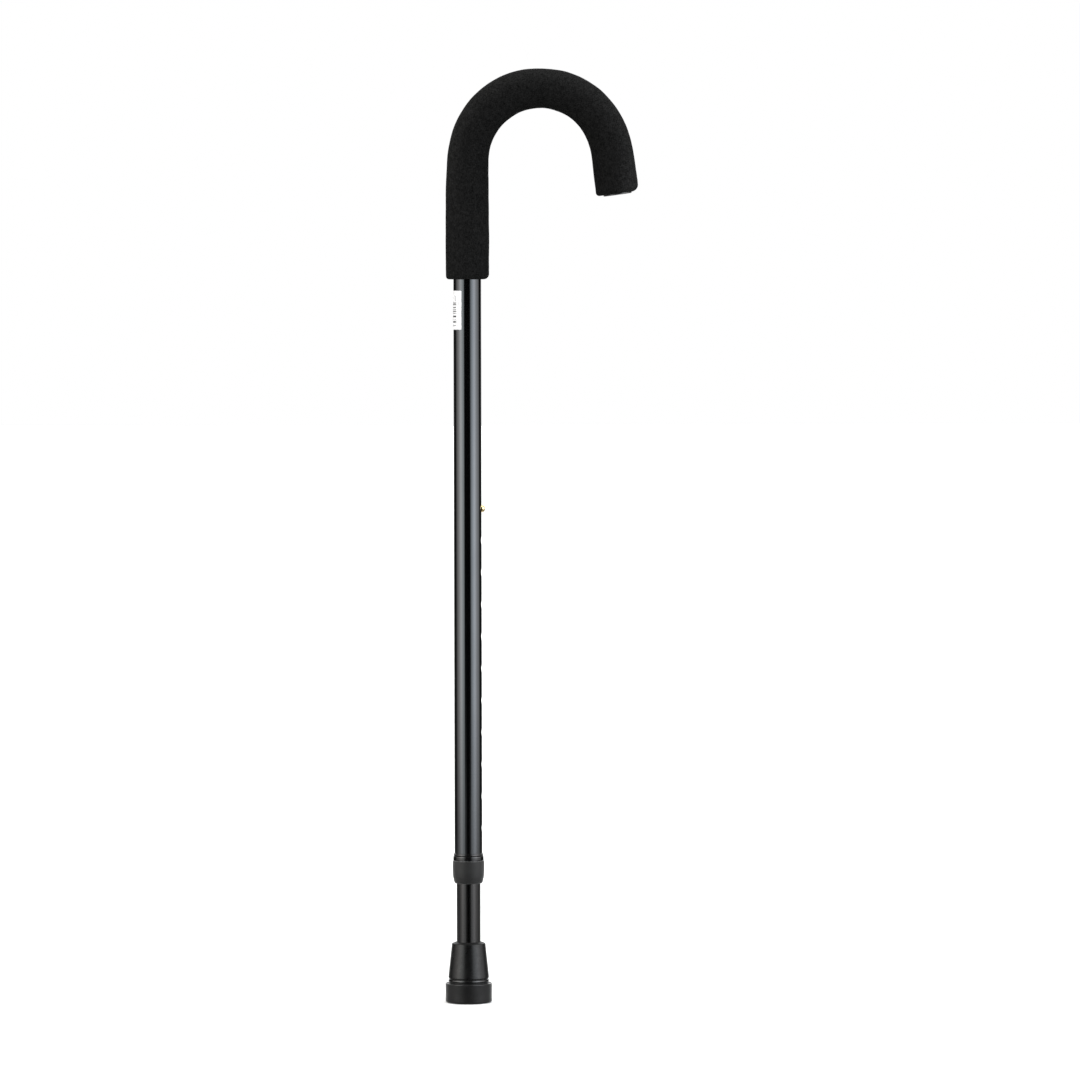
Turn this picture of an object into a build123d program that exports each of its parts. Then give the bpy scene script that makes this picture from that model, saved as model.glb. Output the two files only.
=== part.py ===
from build123d import *
import math
import os

# ---------------------------------------------------------------------------
# Adjustable aluminium walking cane with a round, foam covered crook handle.
#
# Frame: millimetres. Origin at the centre of the rubber tip's base, +Z up the
# shaft, the crook opens towards +X, the row of adjustment holes faces +X.
# Stored at its lowest setting: the snap button sits in the top hole.
# ---------------------------------------------------------------------------

INCH = 25.4

# upper tube (7/8 inch) and its crook
UPPER_R = 22.2 / 2
UPPER_WALL = 1.24
UPPER_RI = UPPER_R - UPPER_WALL
Z_TUBE_END = 114.9          # lower end of the upper tube, seated in the bushing
Z_ARC = 666.9               # height of the crook's arc centre
CROOK_R = 57.5              # centreline radius of the crook
TAIL_DEG = 7.8              # how far the tail leans outwards from vertical
TAIL_LEN = 33.4             # straight tail after the arc

# adjustment holes, one inch apart, on the +X side
HOLE_R = 3.35
HOLE_PITCH = INCH
HOLE_COUNT = 11
Z_BUTTON = 392.6            # top hole, where the button sits

# lower tube (3/4 inch)
LOWER_R = 19.05 / 2
LOWER_WALL = 1.2
LOWER_RI = LOWER_R - LOWER_WALL
Z_LOWER_BOTTOM = 9.8
Z_LOWER_TOP = 418.0
LOWER_HOLE_R = 3.2

# foam grip
FOAM_LEG_R = 17.05
FOAM_BULGE_R = 17.25
FOAM_ARC_R = 16.1
FOAM_TAIL_R = 16.5
FOAM_BORE_R = UPPER_R + 0.06
Z_FOAM_BOTTOM = 574.1
FOAM_END_ROUND = 3.0
FOAM_TAIL_ROUND = 2.2

# end plug of the crook
PLUG_HEAD_R = 11.25
PLUG_HEAD_T = 1.2
PLUG_STEM_R = UPPER_RI - 0.08
PLUG_STEM_LEN = 14.0
PLUG_WALL = 1.6

# collar: flanged bushing, split clamp ring and lock nut
FLANGE_R = 12.0
Z_FLANGE_TOP = 117.9
Z_FLANGE_BOTTOM = 113.7
FLANGE_BORE_R = UPPER_R + 0.05
BUSHING_BORE_R = LOWER_R + 0.10
THREAD_PITCH = 2.0
THREAD_ROOT_R = 10.4
THREAD_CREST_R = 11.0
Z_BUSHING_BOTTOM = 103.2
Z_THREAD_0 = 104.0
THREAD_TURNS = 4.25

RING_BORE_R = LOWER_R + 0.075
RING_R = 10.75
Z_RING_BOTTOM = 99.6
Z_RING_SHOULDER = 103.05
RING_GAP = 2.2

NUT_R = 12.5
Z_NUT_TOP = 113.4
Z_NUT_BOTTOM = 95.0
Z_NUT_STEP = 99.5
Z_NUT_FLOOR = 99.5
NUT_BORE_R = LOWER_R + 0.40
NUT_SEAT_R = 10.95
NUT_ROOT_R = 11.2
NUT_CREST_R = 10.62
NUT_TURNS = 3.75

# snap button and its leaf spring
BUTTON_R = 3.0
BUTTON_TOP_X = UPPER_R + 2.6
SPRING_T = 0.6
SPRING_W = 8.0
SPRING_X = 6.9              # outer face of the spring's button leg
SPRING_DROP = 38.0          # from the button's axis down to the bend

# rubber tip
TIP_FLANGE_R = 37.1 / 2
TIP_TOP_R = 13.5
TIP_CONE_R = 32.3 / 2
TIP_GROOVE_R = 15.3
Z_TIP_TOP = 47.4
Z_TIP_CONE = 21.2
Z_TIP_FLANGE = 16.0
TIP_BORE_R = LOWER_R + 0.02
Z_SOCKET = 8.6
WASHER_T = 1.2

# label
LABEL_Z0 = 534.4
LABEL_Z1 = 565.2
LABEL_T = 0.15
LABEL_ARC = 25.0            # length round the tube
LABEL_EDGE_DEG = 248.0      # front edge, counterclockwise from +X

os.makedirs("parts", exist_ok=True)


def save(shape, name):
    export_step(shape, "parts/" + name + ".step")
    return shape


def lathe(points):
    """Closed profile of (radius, z) points turned about the Z axis."""
    edge = Polyline(*[(r, 0, z) for r, z in points], close=True)
    return revolve(make_face(edge), Axis.Z, 360)


def tube_run(r, z0, grow=0.0, tail=TAIL_LEN):
    """Round bar of radius r along the shaft, the crook and its tail."""
    a = math.radians(TAIL_DEG)
    mid = math.radians((180 + TAIL_DEG) / 2)
    p0 = Vector(0, 0, z0 - grow)
    p1 = Vector(0, 0, Z_ARC)
    pm = Vector(CROOK_R + CROOK_R * math.cos(mid), 0, Z_ARC + CROOK_R * math.sin(mid))
    p2 = Vector(CROOK_R + CROOK_R * math.cos(a), 0, Z_ARC + CROOK_R * math.sin(a))
    d = Vector(math.sin(a), 0, -math.cos(a))
    leg = Solid.make_cylinder(r, p1.Z - p0.Z, Plane(origin=p0, z_dir=(0, 0, 1)))
    bend = sweep(Plane(origin=p1, z_dir=(0, 0, 1)) * Circle(r), ThreePointArc(p1, pm, p2))
    end = Solid.make_cylinder(r, tail + grow, Plane(origin=p2, x_dir=(0, 1, 0), z_dir=d))
    return Part() + leg + bend + end


def tail_plane():
    """Plane at the end of the tail, Z pointing out of the tube's mouth."""
    a = math.radians(TAIL_DEG)
    p2 = Vector(CROOK_R + CROOK_R * math.cos(a), 0, Z_ARC + CROOK_R * math.sin(a))
    d = Vector(math.sin(a), 0, -math.cos(a))
    return Plane(origin=p2 + d * TAIL_LEN, x_dir=(0, 1, 0), z_dir=d)


def ridge(r_in, r_out, w_in, w_out, z0, turns):
    """Helical ridge of trapezoid section between two radii, right-handed."""
    r_mid = (r_in + r_out) / 2
    path = Helix(THREAD_PITCH, THREAD_PITCH * turns, r_mid, center=(0, 0, z0))
    start = path @ 0
    t = path % 0
    radial = Vector(start.X, start.Y, 0).normalized()
    plane = Plane(origin=start, x_dir=radial, z_dir=t)
    h = (r_out - r_in) / 2
    prof = plane * make_face(
        Polyline((-h, -w_in / 2), (h, -w_out / 2), (h, w_out / 2), (-h, w_in / 2), close=True)
    )
    return sweep(prof, path, is_frenet=True)


# ----------------------------- upper tube ----------------------------------
upper = tube_run(UPPER_R, Z_TUBE_END) - tube_run(UPPER_RI, Z_TUBE_END, grow=5.0)
for k in range(HOLE_COUNT):
    z = Z_BUTTON - k * HOLE_PITCH
    upper -= Solid.make_cylinder(HOLE_R, 8.0, Plane(origin=(6.5, 0, z), z_dir=(1, 0, 0)))
save(upper, "upper_tube")

# ----------------------------- foam grip -----------------------------------
leg_profile = [(0.0, Z_FOAM_BOTTOM)]
for i in range(7):
    t = math.radians(-90 + 15 * i)
    leg_profile.append(
        (
            FOAM_LEG_R - FOAM_END_ROUND + FOAM_END_ROUND * math.cos(t),
            Z_FOAM_BOTTOM + FOAM_END_ROUND + FOAM_END_ROUND * math.sin(t),
        )
    )
leg_profile += [
    (FOAM_BULGE_R, 600.0),
    (FOAM_BULGE_R, 618.0),
    (FOAM_LEG_R - 0.3, 638.0),
    (FOAM_ARC_R + 0.25, 655.0),
    (FOAM_ARC_R, Z_ARC),
    (0.0, Z_ARC),
]
leg = lathe(leg_profile)
a = math.radians(TAIL_DEG)
mid = math.radians((180 + TAIL_DEG) / 2)
p1 = Vector(0, 0, Z_ARC)
pm = Vector(CROOK_R + CROOK_R * math.cos(mid), 0, Z_ARC + CROOK_R * math.sin(mid))
p2 = Vector(CROOK_R + CROOK_R * math.cos(a), 0, Z_ARC + CROOK_R * math.sin(a))
bend = sweep(Plane(origin=p1, z_dir=(0, 0, 1)) * Circle(FOAM_ARC_R), ThreePointArc(p1, pm, p2))
tail_profile = [(0.0, -TAIL_LEN), (FOAM_ARC_R, -TAIL_LEN), (FOAM_TAIL_R, -TAIL_LEN * 0.45)]
for i in range(7):
    t = math.radians(15 * i)
    tail_profile.append(
        (
            FOAM_TAIL_R - FOAM_TAIL_ROUND + FOAM_TAIL_ROUND * math.cos(t),
            -FOAM_TAIL_ROUND + FOAM_TAIL_ROUND * math.sin(t),
        )
    )
tail_profile.append((0.0, 0.0))
tail = tail_plane() * lathe(tail_profile)
foam = Part() + leg + bend + tail - tube_run(FOAM_BORE_R, 560.0, grow=5.0)
save(foam, "foam_grip")

# ----------------------------- end plug ------------------------------------
dome = 0.5
plug_profile = [
    (0.0, PLUG_HEAD_T),
    (5.0, PLUG_HEAD_T - 0.06),
    (8.5, PLUG_HEAD_T - 0.22),
    (PLUG_HEAD_R - 0.6, PLUG_HEAD_T - dome),
    (PLUG_HEAD_R - 0.15, PLUG_HEAD_T - dome - 0.25),
    (PLUG_HEAD_R, 0.25),
    (PLUG_HEAD_R, 0.05),
    (PLUG_STEM_R - 0.35, 0.05),
    (PLUG_STEM_R - 0.35, -3.0),
    (PLUG_STEM_R, -3.4),
    (PLUG_STEM_R, -4.2),
    (PLUG_STEM_R - 0.35, -4.8),
    (PLUG_STEM_R - 0.35, -7.0),
    (PLUG_STEM_R, -7.4),
    (PLUG_STEM_R, -8.2),
    (PLUG_STEM_R - 0.35, -8.8),
    (PLUG_STEM_R - 0.35, -PLUG_STEM_LEN + 1.0),
    (PLUG_STEM_R - 0.95, -PLUG_STEM_LEN),
    (PLUG_STEM_R - 0.35 - PLUG_WALL, -PLUG_STEM_LEN),
    (PLUG_STEM_R - 0.35 - PLUG_WALL, -1.2),
    (0.0, -1.2),
]
plug = tail_plane() * lathe(plug_profile)
save(plug, "handle_end_plug")

# ----------------------------- lower tube ----------------------------------
lower = Solid.make_cylinder(LOWER_R, Z_LOWER_TOP - Z_LOWER_BOTTOM, Plane(origin=(0, 0, Z_LOWER_BOTTOM)))
lower = Part() + lower - Solid.make_cylinder(
    LOWER_RI, Z_LOWER_TOP - Z_LOWER_BOTTOM + 2, Plane(origin=(0, 0, Z_LOWER_BOTTOM - 1))
)
lower -= Solid.make_cylinder(LOWER_HOLE_R, 8.0, Plane(origin=(4.5, 0, Z_BUTTON), z_dir=(1, 0, 0)))
save(lower, "lower_tube")

# ----------------------------- collar bushing ------------------------------
bushing_profile = [
    (BUSHING_BORE_R, Z_TUBE_END - 0.05),
    (FLANGE_BORE_R, Z_TUBE_END - 0.05),
    (FLANGE_BORE_R, Z_FLANGE_TOP),
    (FLANGE_R - 0.62, Z_FLANGE_TOP),
    (FLANGE_R - 0.38, Z_FLANGE_TOP - 0.08),
    (FLANGE_R - 0.16, Z_FLANGE_TOP - 0.24),
    (FLANGE_R - 0.04, Z_FLANGE_TOP - 0.46),
    (FLANGE_R, Z_FLANGE_TOP - 0.7),
    (FLANGE_R, Z_FLANGE_BOTTOM + 0.25),
    (FLANGE_R - 0.25, Z_FLANGE_BOTTOM),
    (THREAD_ROOT_R, Z_FLANGE_BOTTOM),
    (THREAD_ROOT_R, Z_BUSHING_BOTTOM),
    (BUSHING_BORE_R + 0.62, Z_BUSHING_BOTTOM),
    (BUSHING_BORE_R, Z_BUSHING_BOTTOM + 0.8),
]
bushing = Part() + lathe(bushing_profile)
bushing += ridge(THREAD_ROOT_R - 0.08, THREAD_CREST_R, 1.23, 0.55, Z_THREAD_0, THREAD_TURNS)
save(bushing, "collar_bushing")

# ----------------------------- clamp ring ----------------------------------
ring_profile = [
    (RING_BORE_R, Z_RING_BOTTOM + 0.2),
    (RING_BORE_R + 0.2, Z_RING_BOTTOM),
    (RING_R - 0.2, Z_RING_BOTTOM),
    (RING_R, Z_RING_BOTTOM + 0.2),
    (RING_R, Z_RING_SHOULDER - 0.15),
    (RING_R - 0.15, Z_RING_SHOULDER),
    (BUSHING_BORE_R + 0.50, Z_RING_SHOULDER),
    (BUSHING_BORE_R + 0.14, Z_RING_SHOULDER + 0.5),
    (RING_BORE_R, Z_RING_SHOULDER + 0.5),
]
ring = Part() + lathe(ring_profile) - Pos(-10.2, 0, 100) * Box(4.0, RING_GAP, 12)
save(ring, "clamp_ring")

# ----------------------------- lock nut ------------------------------------
nut_profile = [
    (NUT_BORE_R + 0.4, Z_NUT_BOTTOM),
    (10.75, Z_NUT_BOTTOM),
    (11.1, Z_NUT_BOTTOM + 0.12),
    (11.33, Z_NUT_BOTTOM + 0.4),
    (11.45, Z_NUT_BOTTOM + 0.9),
    (11.5, Z_NUT_STEP - 0.9),
    (11.9, Z_NUT_STEP - 0.55),
    (12.12, Z_NUT_STEP),
    (12.3, Z_NUT_STEP + 2.0),
    (12.45, Z_NUT_STEP + 4.4),
    (NUT_R, Z_NUT_STEP + 7.4),
    (NUT_R, Z_NUT_TOP - 1.5),
    (NUT_R - 0.06, Z_NUT_TOP - 0.9),
    (NUT_R - 0.22, Z_NUT_TOP - 0.45),
    (NUT_R - 0.48, Z_NUT_TOP - 0.15),
    (NUT_R - 0.8, Z_NUT_TOP),
    (NUT_ROOT_R + 0.15, Z_NUT_TOP),
    (NUT_ROOT_R, Z_NUT_TOP - 0.3),
    (NUT_ROOT_R, Z_RING_SHOULDER + 0.45),
    (NUT_SEAT_R, Z_RING_SHOULDER + 0.2),
    (NUT_SEAT_R, Z_NUT_FLOOR),
    (NUT_BORE_R, Z_NUT_FLOOR),
    (NUT_BORE_R, Z_NUT_BOTTOM + 0.4),
]
nut = Part() + lathe(nut_profile)
nut += ridge(NUT_CREST_R, NUT_ROOT_R + 0.12, 0.6, 1.3, Z_THREAD_0 + THREAD_PITCH / 2, NUT_TURNS)
save(nut, "lock_nut")

# ----------------------------- snap button ---------------------------------
pin_profile = [
    (0.0, BUTTON_TOP_X),
]
for i in range(1, 8):
    t = math.radians(90 - i * 90 / 7)
    pin_profile.append((BUTTON_R * math.cos(t), BUTTON_TOP_X - 2.0 + 2.0 * math.sin(t)))
pin_profile += [
    (BUTTON_R, SPRING_X + 0.05),
    (1.5, SPRING_X + 0.05),
    (1.5, SPRING_X - SPRING_T - 0.05),
    (2.3, SPRING_X - SPRING_T - 0.05),
    (2.1, SPRING_X - SPRING_T - 0.55),
    (1.3, SPRING_X - SPRING_T - 0.85),
    (0.0, SPRING_X - SPRING_T - 0.95),
]
button = Plane(origin=(0, 0, Z_BUTTON), x_dir=(0, 1, 0), z_dir=(1, 0, 0)) * lathe(pin_profile)
save(button, "snap_button")

# ----------------------------- leaf spring ---------------------------------
top = Z_BUTTON + 8.0
low = Z_BUTTON - SPRING_DROP
bend_r = 3.2
xa = SPRING_X - SPRING_T / 2
with BuildLine(Plane.XZ) as sp:
    FilletPolyline(
        (xa, top),
        (xa, Z_BUTTON - 8.0),
        (bend_r - 0.6, low),
        (-bend_r + 0.6, low),
        (-xa, Z_BUTTON - 8.0),
        (-xa + 0.3, top + 2.0),
        radius=2.0,
    )
strip = sweep(
    Plane(origin=sp.line @ 0, x_dir=(0, 1, 0), z_dir=sp.line % 0) * Rectangle(SPRING_W, SPRING_T),
    sp.line,
)
strip = Part() + strip - Solid.make_cylinder(1.6, 6.0, Plane(origin=(4.0, 0, Z_BUTTON), z_dir=(1, 0, 0)))
save(strip, "snap_spring")

# ----------------------------- rubber tip ----------------------------------
tip_profile = [
    (0.0, 0.0),
    (3.4, 0.0),
    (3.9, 1.3),
    (5.9, 1.3),
    (6.4, 0.0),
    (8.4, 0.0),
    (8.9, 1.3),
    (10.9, 1.3),
    (11.4, 0.0),
    (13.4, 0.0),
    (13.9, 1.3),
    (15.4, 1.3),
    (15.9, 0.0),
    (TIP_FLANGE_R - 1.1, 0.0),
    (TIP_FLANGE_R - 0.55, 0.15),
    (TIP_FLANGE_R - 0.15, 0.55),
    (TIP_FLANGE_R, 1.1),
    (TIP_FLANGE_R - 0.05, 8.0),
    (TIP_FLANGE_R + 0.05, 14.6),
    (TIP_FLANGE_R + 0.02, 15.5),
    (TIP_FLANGE_R - 0.3, Z_TIP_FLANGE),
    (TIP_FLANGE_R - 1.0, Z_TIP_FLANGE + 0.25),
    (16.5, 17.6),
    (15.75, 18.2),
    (TIP_GROOVE_R, 18.8),
    (TIP_GROOVE_R, 19.7),
    (15.7, 20.5),
    (TIP_CONE_R, Z_TIP_CONE),
    (TIP_CONE_R - 0.05, Z_TIP_CONE + 0.9),
    (TIP_TOP_R + 0.05, Z_TIP_TOP - 1.0),
    (TIP_TOP_R - 0.2, Z_TIP_TOP - 0.35),
    (TIP_TOP_R - 0.75, Z_TIP_TOP),
    (TIP_BORE_R + 1.0, Z_TIP_TOP),
    (TIP_BORE_R, Z_TIP_TOP - 1.0),
    (TIP_BORE_R, Z_SOCKET),
    (0.0, Z_SOCKET),
]
tip = lathe(tip_profile)
save(tip, "rubber_tip")

# ----------------------------- tip washer ----------------------------------
washer = Part() + Solid.make_cylinder(LOWER_R - 0.1, WASHER_T, Plane(origin=(0, 0, Z_SOCKET)))
washer -= Solid.make_cylinder(3.0, WASHER_T + 2, Plane(origin=(0, 0, Z_SOCKET - 1)))
save(washer, "tip_washer")

# ----------------------------- label ---------------------------------------
span = math.degrees(LABEL_ARC / UPPER_R)
r0, r1 = UPPER_R + 0.02, UPPER_R + 0.02 + LABEL_T
face = make_face(Polyline((r0, 0, LABEL_Z0), (r1, 0, LABEL_Z0), (r1, 0, LABEL_Z1), (r0, 0, LABEL_Z1), close=True))
label = Rot(0, 0, LABEL_EDGE_DEG - span) * revolve(face, Axis.Z, span)
save(label, "label")
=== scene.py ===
import bpy
import math
from mathutils import Matrix, Vector, noise


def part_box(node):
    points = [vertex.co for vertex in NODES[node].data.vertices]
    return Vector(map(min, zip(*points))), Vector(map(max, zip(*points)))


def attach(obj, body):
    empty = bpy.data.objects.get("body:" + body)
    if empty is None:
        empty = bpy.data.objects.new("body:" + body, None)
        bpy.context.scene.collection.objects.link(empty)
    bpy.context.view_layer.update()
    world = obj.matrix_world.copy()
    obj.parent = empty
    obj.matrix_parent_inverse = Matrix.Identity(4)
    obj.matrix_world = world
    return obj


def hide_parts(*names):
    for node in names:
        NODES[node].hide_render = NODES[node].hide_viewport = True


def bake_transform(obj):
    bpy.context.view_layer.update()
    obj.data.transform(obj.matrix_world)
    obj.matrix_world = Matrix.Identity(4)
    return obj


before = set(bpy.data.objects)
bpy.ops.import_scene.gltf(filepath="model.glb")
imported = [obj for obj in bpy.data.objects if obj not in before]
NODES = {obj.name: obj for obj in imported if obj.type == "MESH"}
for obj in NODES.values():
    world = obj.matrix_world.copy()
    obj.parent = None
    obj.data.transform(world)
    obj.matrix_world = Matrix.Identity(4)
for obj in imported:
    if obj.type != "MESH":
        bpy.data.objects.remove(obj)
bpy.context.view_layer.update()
MM = 0.001

# ---------------------------------------------------------------------------
# dimensions that the CAD frame fixes, in millimetres
# ---------------------------------------------------------------------------
UPPER_R, UPPER_RI = 11.1, 9.86
LOWER_R, LOWER_RI = 9.525, 8.325
Z_TUBE_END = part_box("upper_tube")[0].z / MM
Z_ARC = 666.9
CROOK_R = 57.5
TAIL_DEG = 7.8
TAIL_LEN = 33.4
Z_BUTTON = 392.6
HOLE_R = 3.35
PITCH = 25.4
HOLES = [Z_BUTTON - PITCH * k for k in range(11)]
LOWER_HOLE_R = 3.2
Z_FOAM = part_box("foam_grip")[0].z / MM
Z_LOW0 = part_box("lower_tube")[0].z / MM
Z_LOW1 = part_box("lower_tube")[1].z / MM
LABEL_LO, LABEL_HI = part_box("label")

A_END = math.radians(TAIL_DEG)
LEG_LEN = Z_ARC - Z_FOAM
ARC_LEN = CROOK_R * (math.pi - A_END)
FOAM_LEN = LEG_LEN + ARC_LEN + TAIL_LEN


# ---------------------------------------------------------------------------
# camera, room and light
# ---------------------------------------------------------------------------
scene = bpy.context.scene
scene.view_settings.view_transform = "Standard"
scene.view_settings.look = "None"
scene.view_settings.exposure = 0.0
scene.view_settings.gamma = 1.0

# The cane leans a tenth of a degree in its picture, so the camera is rolled by as much.
CAM_D, CAM_H = 5.3, 0.62
AIM = Vector((0.05722, 0.0, 0.36759))
ROLL = math.radians(-0.10)
FOCUS_PX = 6697.2
cam_data = bpy.data.cameras.new("camera")
cam = bpy.data.objects.new("camera", cam_data)
scene.collection.objects.link(cam)
cam_at = Vector((AIM.x, -CAM_D, CAM_H))
ahead = (AIM - cam_at).normalized()
side = ahead.cross(Vector((0, 0, 1))).normalized()
above = side.cross(ahead)
right = side * math.cos(ROLL) + above * math.sin(ROLL)
upward = above * math.cos(ROLL) - side * math.sin(ROLL)
cam.matrix_world = Matrix(
    (
        (right.x, upward.x, -ahead.x, cam_at.x),
        (right.y, upward.y, -ahead.y, cam_at.y),
        (right.z, upward.z, -ahead.z, cam_at.z),
        (0, 0, 0, 1),
    )
)
cam_data.sensor_width = 36.0
cam_data.lens = 36.0 * FOCUS_PX / 1080
cam_data.clip_start, cam_data.clip_end = 0.1, 60.0
scene.camera = cam


def N(tree, kind, **values):
    node = tree.nodes.new(kind)
    for key, value in values.items():
        if key.startswith("in_"):
            name = key[3:]
            socket = node.inputs[int(name)] if name.isdigit() else node.inputs[name.replace("_", " ")]
            if isinstance(value, bpy.types.NodeSocket):
                tree.links.new(value, socket)
            else:
                socket.default_value = value
        else:
            setattr(node, key, value)
    return node


def math_node(tree, op, a, b=None, c=None, clamp=False):
    node = tree.nodes.new("ShaderNodeMath")
    node.operation = op
    node.use_clamp = clamp
    for i, v in enumerate((a, b, c)):
        if v is None:
            continue
        if isinstance(v, bpy.types.NodeSocket):
            tree.links.new(v, node.inputs[i])
        else:
            node.inputs[i].default_value = v
    return node.outputs[0]


def ramp01(tree, value, lo, hi, a=0.0, b=1.0, smooth=True):
    node = tree.nodes.new("ShaderNodeMapRange")
    node.interpolation_type = "SMOOTHSTEP" if smooth else "LINEAR"
    node.clamp = True
    tree.links.new(value, node.inputs["Value"])
    node.inputs["From Min"].default_value = lo
    node.inputs["From Max"].default_value = hi
    node.inputs["To Min"].default_value = a
    node.inputs["To Max"].default_value = b
    return node.outputs["Result"]


def mix_rgb(tree, factor, a, b, blend="MIX"):
    node = tree.nodes.new("ShaderNodeMix")
    node.data_type = "RGBA"
    node.blend_type = blend
    fac, ina, inb = node.inputs[0], node.inputs[6], node.inputs[7]
    for socket, v in ((fac, factor), (ina, a), (inb, b)):
        if isinstance(v, bpy.types.NodeSocket):
            tree.links.new(v, socket)
        else:
            socket.default_value = v
    return node.outputs[2]


# Radiance of the two tall soft lamps by direction: degrees round from the camera (minus is left), strength, and
# red and blue against green.
LAMPS = [
    (-115, 0.0, 1.05, 0.97), (-108, 0.35, 1.05, 0.97), (-100, 1.1, 1.05, 0.97), (-88, 2.45, 1.05, 0.97),
    (-77, 3.75, 1.04, 0.97), (-67, 6.1, 1.03, 0.97), (-57, 7.9, 1.02, 0.97), (-48, 7.0, 0.98, 0.98),
    (-39, 5.2, 0.96, 0.98), (-31, 4.2, 0.96, 0.98), (-25, 0.0, 0.96, 0.98), (21, 0.0, 0.94, 1.03),
    (27, 3.0, 0.94, 1.03), (36, 5.1, 0.95, 1.04), (45, 6.8, 0.95, 1.05), (54, 8.3, 0.97, 1.04),
    (63, 8.1, 0.99, 1.03), (73, 5.6, 0.99, 1.02), (84, 3.7, 0.99, 1.02), (95, 2.8, 1.0, 1.01),
    (105, 1.4, 1.0, 1.0), (112, 0.3, 1.0, 1.0), (117, 0.0, 1.0, 1.0),
]
# How the lamps fade by height: degrees over the horizon, then share of their strength.
LAMP_HEIGHT = [
    (-8.0, 0.10), (-6.4, 0.26), (-6.05, 0.30), (-5.77, 0.34), (-5.34, 0.45), (-5.1, 0.56), (-4.34, 0.88),
    (-3.14, 0.99), (-2.1, 1.05), (-1.27, 0.95), (-0.4, 0.88), (2.0, 0.84),
]


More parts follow.
